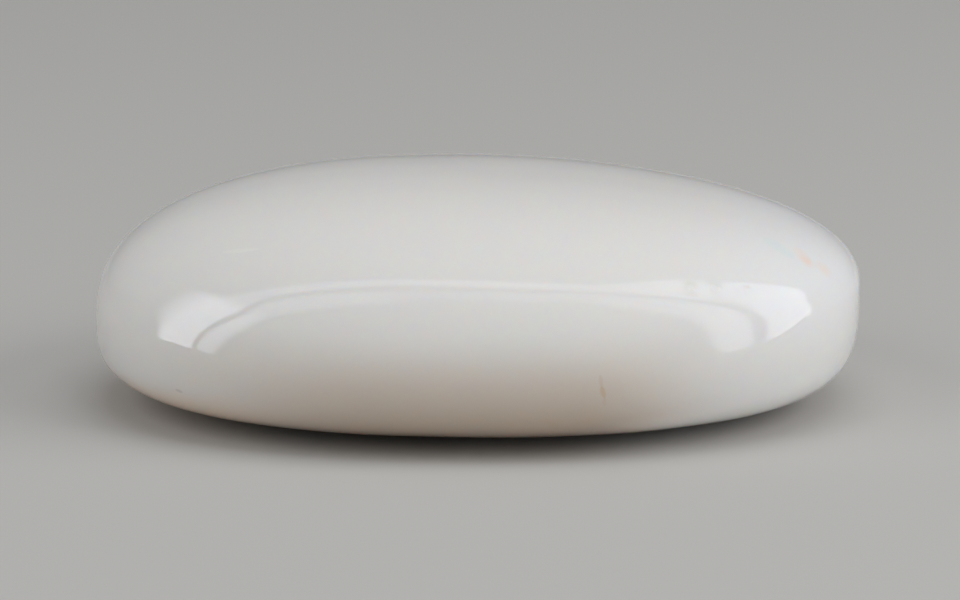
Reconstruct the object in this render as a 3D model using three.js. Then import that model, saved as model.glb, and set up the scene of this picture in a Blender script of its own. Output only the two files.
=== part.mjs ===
// Polished white opal cabochon: an oval stone with a domed crown and a shallower domed belly.
// Millimetres, +Z up, length along X, width along Y, the flat of the belly on Z = 0.
import * as THREE from 'three';

const LENGTH = 16.0;
const WIDTH = 12.0;
const HEIGHT = 4.9;

// The widest line runs higher at the right end than at the left, and lowest along the sides.
const GIRDLE_LEFT = 1.88;
const GIRDLE_RIGHT = 2.56;
const GIRDLE_SIDE = 1.4;

// The top of the crown sits a little left of the middle.
const APEX_X = -0.83;

// The small flat the stone rests on, a little right of the middle.
const FLAT_LEFT = -1.2;
const FLAT_RIGHT = 2.4;
const FLAT_WIDTH = 2.6;

// Fullness of each curve: 2 is an ellipse, more is squarer.
const BELLY_LEFT = 3.5;
const BELLY_RIGHT = 3.9;
const BELLY_SIDE = 2.5;
const CROWN_LEFT = 2.37;
const CROWN_RIGHT = 2.07;
const CROWN_SIDE = 2.4;
const PLAN = 2.15;

const SLICES = 46;
const AROUND = 96;

// Reach of the stone at height z: from `flat` at the base out to `full` at the girdle,
// then back in to `top` at the top of the crown.
function reach(z, girdle, flat, full, top, belly, crown) {
  if (z < girdle) {
    const down = (girdle - z) / girdle;
    return flat + (full - flat) * (1 - down ** belly) ** (1 / belly);
  }
  const up = (z - girdle) / (HEIGHT - girdle);
  return top + (full - top) * Math.max(1 - up ** crown, 0) ** (1 / crown);
}

// One oval slice of the stone at height z, counterclockwise from above.
function slice(z) {
  const half = LENGTH / 2;
  const right = reach(z, GIRDLE_RIGHT, FLAT_RIGHT, half, APEX_X, BELLY_RIGHT, CROWN_RIGHT);
  const left = -reach(z, GIRDLE_LEFT, -FLAT_LEFT, half, -APEX_X, BELLY_LEFT, CROWN_LEFT);
  const side = reach(z, GIRDLE_SIDE, FLAT_WIDTH / 2, WIDTH / 2, 0, BELLY_SIDE, CROWN_SIDE);
  const points = [];
  for (let i = 0; i < AROUND; i += 1) {
    const turn = (i / AROUND) * 2 * Math.PI;
    const along = Math.sign(Math.cos(turn)) * Math.abs(Math.cos(turn)) ** (2 / PLAN);
    const across = Math.sign(Math.sin(turn)) * Math.abs(Math.sin(turn)) ** (2 / PLAN);
    points.push([(left + right) / 2 + ((right - left) / 2) * along, side * across, z]);
  }
  return points;
}

// The slices stand closer together near the flat and the top, where the surface turns over.
function stoneGeometry() {
  const positions = [];
  for (let i = 0; i < SLICES; i += 1) {
    const z = (HEIGHT * (1 - Math.cos((Math.PI * i) / SLICES))) / 2;
    positions.push(...slice(z).flat());
  }
  const flatMiddle = SLICES * AROUND;
  const apex = flatMiddle + 1;
  positions.push((FLAT_LEFT + FLAT_RIGHT) / 2, 0, 0);
  positions.push(APEX_X, 0, HEIGHT);

  const faces = [];
  const topSlice = (SLICES - 1) * AROUND;
  for (let i = 0; i < AROUND; i += 1) {
    const next = (i + 1) % AROUND;
    faces.push(flatMiddle, next, i);
    for (let s = 0; s < topSlice; s += AROUND) {
      faces.push(s + i, s + next, s + AROUND + next);
      faces.push(s + i, s + AROUND + next, s + AROUND + i);
    }
    faces.push(topSlice + i, topSlice + next, apex);
  }

  const geometry = new THREE.BufferGeometry();
  geometry.setAttribute('position', new THREE.Float32BufferAttribute(positions, 3));
  geometry.setIndex(faces);
  geometry.computeVertexNormals();
  return geometry;
}

const opal = new THREE.MeshStandardMaterial({ color: 0xcfcdc9, roughness: 0.12, metalness: 0 });

const stone = new THREE.Mesh(stoneGeometry(), opal);
stone.name = 'opal_stone';

const part = new THREE.Group();
part.name = 'opal_cabochon';
part.add(stone);

export default part;
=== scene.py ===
import math

import bpy
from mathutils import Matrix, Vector


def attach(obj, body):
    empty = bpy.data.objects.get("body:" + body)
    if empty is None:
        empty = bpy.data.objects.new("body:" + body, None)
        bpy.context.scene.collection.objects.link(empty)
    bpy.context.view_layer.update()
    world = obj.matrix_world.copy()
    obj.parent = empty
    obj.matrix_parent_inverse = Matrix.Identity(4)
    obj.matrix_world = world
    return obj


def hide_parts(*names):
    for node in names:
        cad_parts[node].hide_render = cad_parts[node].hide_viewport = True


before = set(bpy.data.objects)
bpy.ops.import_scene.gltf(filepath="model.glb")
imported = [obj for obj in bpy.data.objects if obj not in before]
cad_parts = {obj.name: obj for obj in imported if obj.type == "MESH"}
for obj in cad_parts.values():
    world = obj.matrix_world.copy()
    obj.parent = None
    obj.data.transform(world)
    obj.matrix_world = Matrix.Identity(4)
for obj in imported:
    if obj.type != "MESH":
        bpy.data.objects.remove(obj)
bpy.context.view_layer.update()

# The stone: one piece of milky white opal, ground on the wheel to a long oval with a full crown and
# a shallower belly, then polished by hand all over. A small flat is buffed into the belly, and the
# stone rests on it.
MM = 0.001
LENGTH = 16.0 * MM
WIDTH = 12.0 * MM
HEIGHT = 4.9 * MM
GIRDLE_LEFT = 1.88 * MM
GIRDLE_RIGHT = 2.56 * MM
GIRDLE_SIDE = 1.4 * MM
APEX_X = -0.83 * MM
FLAT_LEFT = -1.2 * MM
FLAT_RIGHT = 2.4 * MM
FLAT_WIDTH = 2.6 * MM
BELLY_LEFT, BELLY_RIGHT, BELLY_SIDE = 3.5, 3.9, 2.5
CROWN_LEFT, CROWN_RIGHT, CROWN_SIDE = 2.37, 2.07, 2.4
PLAN = 2.15
AROUND = 240
SLICES = 120
WAVE_LENGTH = 2.2 * MM
WAVE_DEPTH = 0.02 * MM
NEAR = 1e-4


def reach(z, girdle, flat, full, top, belly, crown):
    """How far the stone reaches at height z, between the flat, the girdle and the crown's top."""
    if z < girdle:
        return flat + (full - flat) * (1 - ((girdle - z) / girdle) ** belly) ** (1 / belly)
    up = (z - girdle) / (HEIGHT - girdle)
    return top + (full - top) * (1 - up**crown) ** (1 / crown)


def slice_at(step):
    """Middle, half length, half width and height of one oval slice, counted from the flat."""
    z = HEIGHT * (1 - math.cos(math.pi * step / SLICES)) / 2
    half = LENGTH / 2
    right = reach(z, GIRDLE_RIGHT, FLAT_RIGHT, half, APEX_X, BELLY_RIGHT, CROWN_RIGHT)
    left = -reach(z, GIRDLE_LEFT, -FLAT_LEFT, half, -APEX_X, BELLY_LEFT, CROWN_LEFT)
    side = reach(z, GIRDLE_SIDE, FLAT_WIDTH / 2, WIDTH / 2, 0, BELLY_SIDE, CROWN_SIDE)
    return (left + right) / 2, (right - left) / 2, side, z


def pick(piece, wanted):
    """Selects the vertices of the piece in edit mode that the test wants, and no others."""
    bpy.ops.mesh.select_all(action="DESELECT")
    bpy.ops.object.mode_set(mode="OBJECT")
    for vertex in piece.data.vertices:
        vertex.select = wanted(vertex.co)
    bpy.ops.object.mode_set(mode="EDIT")


bpy.ops.object.select_all(action="DESELECT")
middle, half_length, half_width, z = slice_at(0)
bpy.ops.mesh.primitive_circle_add(vertices=AROUND, radius=1, fill_type="TRIFAN", enter_editmode=True)
stone = bpy.context.object
stone.name = "polished_stone"
bpy.ops.mesh.select_mode(type="VERT")
for step in range(1, AROUND // 4):
    across, along = math.sin(2 * math.pi * step / AROUND), math.cos(2 * math.pi * step / AROUND)
    pick(stone, lambda co: abs(abs(co.x) - along) < NEAR and abs(abs(co.y) - across) < NEAR)
    swell = (along ** (2 / PLAN - 1), across ** (2 / PLAN - 1), 1)
    bpy.ops.transform.resize(value=swell, center_override=(0, 0, 0))
bpy.ops.mesh.select_all(action="SELECT")
bpy.ops.transform.resize(value=(half_length, half_width, 1), center_override=(0, 0, 0))
bpy.ops.transform.translate(value=(middle, 0, 0))
pick(stone, lambda co: (co - Vector((middle, 0, 0))).length > NEAR)
for step in range(1, SLICES):
    last = (middle, half_length, half_width, z)
    middle, half_length, half_width, z = slice_at(step)
    bpy.ops.mesh.extrude_region_move(
        TRANSFORM_OT_translate={"value": (middle - last[0], 0, z - last[3])}
    )
    grown = (half_length / last[1], half_width / last[2], 1)
    bpy.ops.transform.resize(value=grown, center_override=(middle, 0, z))
bpy.ops.mesh.extrude_region_move(
    TRANSFORM_OT_translate={"value": (APEX_X - middle, 0, HEIGHT - z)}
)
bpy.ops.mesh.merge(type="CENTER")
bpy.ops.mesh.select_all(action="SELECT")
bpy.ops.mesh.normals_make_consistent(inside=False)
bpy.ops.object.mode_set(mode="OBJECT")
bpy.ops.object.shade_smooth()

# Polishing by hand leaves the surface very faintly wavy.
bpy.ops.object.modifier_add(type="DISPLACE")
wave = stone.modifiers[-1]
wave.texture = bpy.data.textures.new("hand_polish", "CLOUDS")
wave.texture.noise_scale = WAVE_LENGTH
wave.texture.noise_depth = 0
wave.strength = WAVE_DEPTH
bpy.ops.object.modifier_apply(modifier=wave.name)

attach(stone, "root")
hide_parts("opal_stone")


class Link:
    """A socket in a material's node tree that sums can be written with."""

    def __init__(self, tree, socket=None):
        self.tree = tree
        self.socket = socket

    def node(self, kind, inputs, output=0, **settings):
        """Any other node: its settings first, then its input values or links."""
        made = self.tree.nodes.new(kind)
        for name, value in settings.items():
            setattr(made, name, value)
        for name, value in inputs.items():
            if isinstance(value, Link):
                self.tree.links.new(value.socket, made.inputs[name])
            else:
                made.inputs[name].default_value = value
        return Link(self.tree, made.outputs[output]) if made.outputs else made

    def sum(self, operation, first, second):
        """A Math node on two values, of which either may be a plain number."""
        return self.node("ShaderNodeMath", {0: first, 1: second}, operation=operation)

    def __add__(self, other):
        return self.sum("ADD", self, other)

    def __sub__(self, other):
        return self.sum("SUBTRACT", self, other)

    def __rsub__(self, other):
        return self.sum("SUBTRACT", other, self)

    def __mul__(self, other):
        return self.sum("MULTIPLY", self, other)

    def __truediv__(self, other):
        return self.sum("DIVIDE", self, other)

    def __rtruediv__(self, other):
        return self.sum("DIVIDE", other, self)

    __radd__ = __add__
    __rmul__ = __mul__

    def rise(self, low, high):
        """0 below low, 1 above high, eased between the two."""
        return self.node(
            "ShaderNodeMapRange",
            {"Value": self, "From Min": low, "From Max": high},
            interpolation_type="SMOOTHSTEP",
        )

    def axis(self, letter):
        """One of this place's three measures."""
        return self.node("ShaderNodeSeparateXYZ", {0: self}, output=letter)

    def gap(self, point):
        """How far this place is from a point."""
        return self.node(
            "ShaderNodeVectorMath", {0: self, 1: point}, output="Value", operation="DISTANCE"
        )

    def tint(self, other, amount):
        """This colour turned towards another by an amount."""
        return self.node(
            "ShaderNodeMix", {0: amount, 6: self, 7: other}, output=2, data_type="RGBA"
        )


def spot(place, point, size):
    """A soft round mark at a point in millimetres, 1 in the middle and 0 from its size outwards."""
    return 1 - place.gap(Vector(point) * MM).rise(0, size * MM)


def streak(place, start, end, breadth):
    """A soft thin mark from one point to another, in millimetres: it fades where the way round by
    a place is longer than the straight line."""
    start, end = Vector(start) * MM, Vector(end) * MM
    length = (end - start).length
    detour = place.gap(start) + place.gap(end) - length
    return 1 - detour.rise(0, (breadth * MM) ** 2 / length)


MILK = (0.848, 0.838, 0.826, 1)
BELLY_SHADE_TAN = (0.61, 0.52, 0.44, 1)
RIM_LIGHT_PALE = (0.98, 0.93, 0.91, 1)
RIM_LIGHT_WARM = (0.86, 0.71, 0.6, 1)
COOL_WHITE = (0.855, 0.855, 0.87, 1)
FIRE_ORANGE = (0.98, 0.7, 0.57, 1)
COOL_BLUE = (0.72, 0.85, 0.86, 1)
THREAD_BROWN = (0.6, 0.4, 0.22, 1)
SPECK_GREY = (0.38, 0.38, 0.38, 1)
STREAK_WHITE = (0.93, 0.92, 0.88, 1)

opal = bpy.data.materials.new("milky_opal")
opal.use_nodes = True
shader = opal.node_tree.nodes["Principled BSDF"]
place = Link(opal.node_tree).node("ShaderNodeTexCoord", {}, output="Object")
right = place.axis("X") / MM
left = 0 - right
z = place.axis("Z") / MM

# Milk white in the crown. Low in the middle the white is darkened and turned tan: painted shade, for
# the belly in shade and for light that has come a long way through the stone. The lower rim has
# painted light on it, paler at the right and warmer at the left. The white is cooler in the right
# end. Measures are in millimetres from the middle and from the floor.
# Painted shade: the white is darkened and turned tan low in the middle.
belly = (1 - z.rise(0.8, 2.8)) * (1 - right.rise(2.0, 5.8)) * (1 - left.rise(2.0, 7.5) * 0.85)
# Painted light: the lower rim at the right is lit paler.
painted_rim_light_right = (1 - (z - right * 0.15).rise(-0.2, 0.5)) * right.rise(1.0, 4.5)
# Painted light: the lower rim at the left is lit warmer.
painted_rim_light_left = (1 - z.rise(0.5, 1.3)) * left.rise(3.5, 6.0)
cool_end = right.rise(3.5, 7.0) * z.rise(1.5, 2.6)
colour = place.node("ShaderNodeRGB", {})
colour.socket.default_value = MILK
colour = colour.tint(BELLY_SHADE_TAN, belly).tint(RIM_LIGHT_PALE, painted_rim_light_right)
colour = colour.tint(RIM_LIGHT_WARM, painted_rim_light_left).tint(COOL_WHITE, cool_end)

# Faint marks inside: orange fire beside a cool patch near the right end, a brown thread low on the
# near side and a dark speck near the left end. Above the speck the colour is turned paler along a
# short streak.
FIRE = (6.83, -2.25, 3.45)
fire = spot(place, FIRE, 0.3) + spot(place, (7.17, -2.09, 3.26), 0.3)
fire = fire + streak(place, (6.65, -1.95, 3.65), FIRE, 0.3) * 0.5
cool_patch = streak(place, (5.95, -2.1, 3.9), (6.5, -2.4, 3.58), 0.4)
THREAD_HEAD, THREAD_TAIL = (2.53, -5.75, 1.61), (2.59, -5.74, 1.4)
thread = streak(place, (2.5, -5.74, 1.86), THREAD_HEAD, 0.08) * 0.5
thread = thread + streak(place, THREAD_HEAD, THREAD_TAIL, 0.1)
thread = thread + streak(place, THREAD_TAIL, (2.59, -5.72, 1.21), 0.07) * 0.4
speck = streak(place, (-6.21, -3.93, 1.12), (-6.07, -4.05, 1.09), 0.07)
pale_streak = streak(place, (-5.25, -3.19, 3.85), (-4.5, -3.47, 3.98), 0.12)
colour = colour.tint(FIRE_ORANGE, fire * 0.4).tint(COOL_BLUE, cool_patch * 0.35)
colour = colour.tint(THREAD_BROWN, thread * 0.4).tint(SPECK_GREY, speck * 0.3)
colour = colour.tint(STREAK_WHITE, pale_streak * 0.35)
opal.node_tree.links.new(colour.socket, shader.inputs["Base Color"])

# The polish: faintly uneven from the felt wheel, with three tiny scuffs on the crown's right
# shoulder. Light goes a few millimetres deep into the stone and comes out again.
FELT_SCALE, FELT_DEPTH = 0.7 / MM, 0.0015 * MM
SCUFF_SCALE, SCUFF_DEPTH = 6.0 / MM, 0.025 * MM
POLISHED, SCUFFED = 0.035, 0.4
LIGHT_DEPTH = 4.0 * MM

felt = place.node(
    "ShaderNodeTexNoise", {"Vector": place, "Scale": FELT_SCALE, "Detail": 1.0}, output="Fac"
)
grain = place.node(
    "ShaderNodeTexNoise", {"Vector": place, "Scale": SCUFF_SCALE, "Detail": 1.0}, output="Fac"
)
scuffs = spot(place, (5.54, -3.97, 3.23), 0.14) + spot(place, (4.88, -4.26, 3.34), 0.26)
scuffs = scuffs + spot(place, (4.38, -4.46, 3.38), 0.22)
height = felt * FELT_DEPTH + grain * scuffs * SCUFF_DEPTH
relief = place.node("ShaderNodeBump", {"Height": height, "Distance": 1.0}, output="Normal")
opal.node_tree.links.new(relief.socket, shader.inputs["Normal"])
dull = scuffs * grain.rise(0.35, 0.65) * SCUFFED + POLISHED
opal.node_tree.links.new(dull.socket, shader.inputs["Roughness"])
shader.inputs["IOR"].default_value = 1.45
shader.inputs["Subsurface Weight"].default_value = 1.0
shader.inputs["Subsurface Radius"].default_value = (1.0, 0.75, 0.55)
shader.inputs["Subsurface Scale"].default_value = LIGHT_DEPTH
stone.data.materials.append(opal)

# The floor: a plain pale sheet of matt paper under the stone. It is large enough to fill the view
# from any side, and it mirrors nothing.
FLOOR_SIZE = 3
PAPER = (0.58, 0.575, 0.56, 1)

bpy.ops.object.select_all(action="DESELECT")
bpy.ops.mesh.primitive_plane_add(size=FLOOR_SIZE)
floor = bpy.context.object
floor.name = "floor"
paper = bpy.data.materials.new("pale_paper")
paper.use_nodes = True
matt = paper.node_tree.nodes["Principled BSDF"]
matt.inputs["Base Color"].default_value = PAPER
matt.inputs["Roughness"].default_value = 1.0
matt.inputs["Specular IOR Level"].default_value = 0.0
floor.data.materials.append(paper)

# The lights: two long ribbons of light bent into arches over the stone from end to end, with a narrow
# dark gap between them, are what the polish mirrors. Large soft lights from above and from both
# sides light the stone itself, and a faint even light fills in from all round.
ARCH_RADIUS = 50 * MM
ARCH_COLOUR = (0.87, 0.89, 1, 1)
ARCH_STRENGTH = 6.0
ALONG, ACROSS = 90, 3
SOFT_LIGHT_RADIUS = 120 * MM
FILL_STRENGTH = 0.23


def between(stations, turn):
    """The measures of an arch at a turn, from the stations on either side of it."""
    for (turn0, *low), (turn1, *high) in zip(stations, stations[1:]):
        if turn <= turn1:
            share = (turn - turn0) / (turn1 - turn0)
            return [a + (b - a) * share for a, b in zip(low, high)]


def arch(name, stations):
    """A ribbon of light over the stone. Each station gives the turn from upright in degrees, then
    where across the ribbon the light begins, is full, starts to fade and ends, as shares of the
    arch's radius counted away from the viewer, and how bright it is. The ribbon's four rows of
    vertices lie in these four places."""
    bpy.ops.object.select_all(action="DESELECT")
    bpy.ops.mesh.primitive_grid_add(x_subdivisions=ALONG, y_subdivisions=ACROSS, size=2)
    ribbon = bpy.context.object
    ribbon.name = name
    glow = ribbon.data.attributes.new("glow", "FLOAT", "POINT")
    for vertex in ribbon.data.vertices:
        turn = 90 * vertex.co.x
        row = round((1 - vertex.co.y) / 2 * ACROSS)
        *edges, bright = between(stations, turn)
        glow.data[vertex.index].value = bright / ARCH_STRENGTH if row in (1, 2) else 0
        turn = math.radians(turn)
        vertex.co = Vector((math.sin(turn), edges[row], math.cos(turn))) * ARCH_RADIUS
    light = bpy.data.materials.new(name)
    light.use_nodes = True
    tree = light.node_tree
    tree.nodes.clear()
    bright = Link(tree).node("ShaderNodeAttribute", {}, output="Fac", attribute_name="glow")
    colour = bright.node("ShaderNodeRGB", {})
    colour.socket.default_value = (0, 0, 0, 1)
    colour = colour.tint(ARCH_COLOUR, bright)
    lamp = colour.node("ShaderNodeEmission", {"Color": colour, "Strength": ARCH_STRENGTH})
    lamp.node("ShaderNodeOutputMaterial", {"Surface": lamp})
    ribbon.data.materials.append(light)
    ribbon.visible_camera = False
    ribbon.visible_diffuse = False
    ribbon.visible_shadow = False


arch(
    "rear_light",
    (
        (-90, 0.0, -0.05, -0.3, -0.33, 5.3),
        (-80, 0.02, -0.08, -0.33, -0.355, 5.3),
        (-71, 0.1, -0.15, -0.35, -0.38, 5.1),
        (-50, 0.08, -0.18, -0.36, -0.4, 5.0),
        (-45, -0.12, -0.2, -0.31, -0.35, 2.4),
        (-36, -0.14, -0.19, -0.25, -0.29, 1.9),
        (-10, -0.1, -0.15, -0.2, -0.24, 1.8),
        (3, -0.12, -0.17, -0.23, -0.28, 2.0),
        (16, -0.08, -0.14, -0.2, -0.26, 1.5),
        (24, 0.06, 0.0, -0.2, -0.265, 2.3),
        (36, 0.11, 0.06, -0.24, -0.285, 2.4),
        (46, 0.18, 0.12, -0.16, -0.29, 2.5),
        (56, 0.25, 0.19, -0.21, -0.3, 3.0),
        (63, 0.21, 0.18, -0.27, -0.32, 3.1),
        (72, 0.12, 0.1, -0.29, -0.34, 3.3),
        (90, 0.13, 0.1, -0.28, -0.33, 3.6),
    ),
)
arch(
    "near_light",
    (
        (-90, -0.345, -0.37, -0.46, -0.53, 3.6),
        (-78, -0.375, -0.4, -0.52, -0.59, 3.6),
        (-62, -0.41, -0.44, -0.54, -0.61, 3.4),
        (-50, -0.41, -0.44, -0.51, -0.58, 3.3),
        (-44, -0.34, -0.39, -0.5, -0.58, 1.9),
        (-36, -0.3, -0.35, -0.49, -0.57, 1.8),
        (-16, -0.27, -0.33, -0.46, -0.56, 1.5),
        (-6, -0.27, -0.33, -0.42, -0.5, 0.8),
        (6, -0.29, -0.34, -0.45, -0.54, 1.3),
        (15, -0.265, -0.285, -0.38, -0.47, 1.0),
        (24, -0.268, -0.295, -0.43, -0.56, 1.5),
        (40, -0.295, -0.325, -0.53, -0.65, 1.8),
        (56, -0.325, -0.37, -0.59, -0.72, 2.7),
        (70, -0.38, -0.42, -0.68, -0.8, 2.9),
        (80, -0.4, -0.44, -0.68, -0.8, 3.0),
        (90, -0.38, -0.42, -0.6, -0.7, 3.0),
    ),
)

for name, stand, watts in (
    ("top_light", (20, -10, 140), 0.056),
    ("right_light", (120, -40, 60), 0.094),
    ("left_light", (-110, -60, 80), 0.057),
):
    bpy.ops.object.select_all(action="DESELECT")
    stand = Vector(stand) * MM
    turned = stand.to_track_quat("Z", "Y").to_euler()
    bpy.ops.object.light_add(
        type="AREA", radius=SOFT_LIGHT_RADIUS, location=stand, rotation=turned
    )
    soft_light = bpy.context.object
    soft_light.name = name
    soft_light.data.energy = watts
    soft_light.visible_glossy = False

world = bpy.data.worlds.new("studio")
bpy.context.scene.world = world
world.use_nodes = True
fill = world.node_tree.nodes["Background"]
fill.inputs["Color"].default_value = (1, 1, 1, 1)
fill.inputs["Strength"].default_value = FILL_STRENGTH
bpy.context.scene.view_settings.view_transform = "Standard"

# The camera: far off with a long lens, square to the stone's long side and a little above it, so
# that the crown's front and the belly are both seen.
ELEVATION = math.radians(13)
DISTANCE = 200 * MM
LENS = 358.1
AIM = Vector((0.0515, -0.075, 2.124)) * MM

back = Vector((0, -math.cos(ELEVATION), math.sin(ELEVATION)))
bpy.ops.object.camera_add(
    location=AIM + back * DISTANCE, rotation=(math.pi / 2 - ELEVATION, 0, 0)
)
camera = bpy.context.object
camera.data.lens = LENS
camera.data.sensor_width = 36
camera.data.clip_start = 10 * MM
camera.data.clip_end = 10
bpy.context.scene.camera = camera
